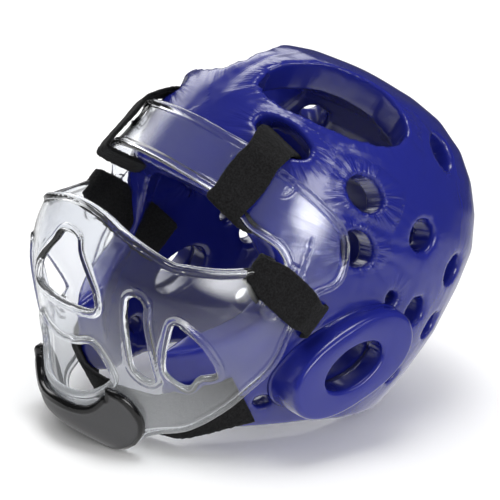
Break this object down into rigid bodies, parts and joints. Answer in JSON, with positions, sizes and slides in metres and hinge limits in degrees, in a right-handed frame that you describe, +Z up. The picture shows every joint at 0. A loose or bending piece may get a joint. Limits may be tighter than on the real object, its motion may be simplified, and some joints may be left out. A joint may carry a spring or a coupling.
{
  "type": "karate headgear",
  "caption": "Padded karate head guard with open crown, air holes, round ear pads, a clear face mask held by loop-pile straps, a chin strap and a dark chin cup.",
  "frame": {"origin": "middle of the overall box in X and Y, at its lowest plane, which is the floor that the headgear rests on", "axes": "+X is the wearer's left, +Y is toward the back of the head, +Z is up in the resting pose, with the head leant back about 28 degrees so that it sits on the chin cup and the rear rim"},
  "size_m": [0.206, 0.286, 0.2161],
  "materials": {
    "dipped_foam": "glossy blue vinyl skin dipped over closed-cell foam",
    "clear_shield": "clear moulded polycarbonate, polished",
    "cup_plastic": "satin charcoal plastic with a glossy black rim",
    "strap": "black loop-pile elastic strap"
  },
  "bodies": {
    "root": {"foam_shell": "dipped_foam", "ear_pad_left": "dipped_foam", "ear_pad_right": "dipped_foam", "face_shield": "clear_shield", "chin_cup": "cup_plastic", "upper_strap_left": "strap", "upper_strap_right": "strap", "lower_strap_left": "strap", "lower_strap_right": "strap", "chin_strap": "strap"}
  },
  "joints": []
}
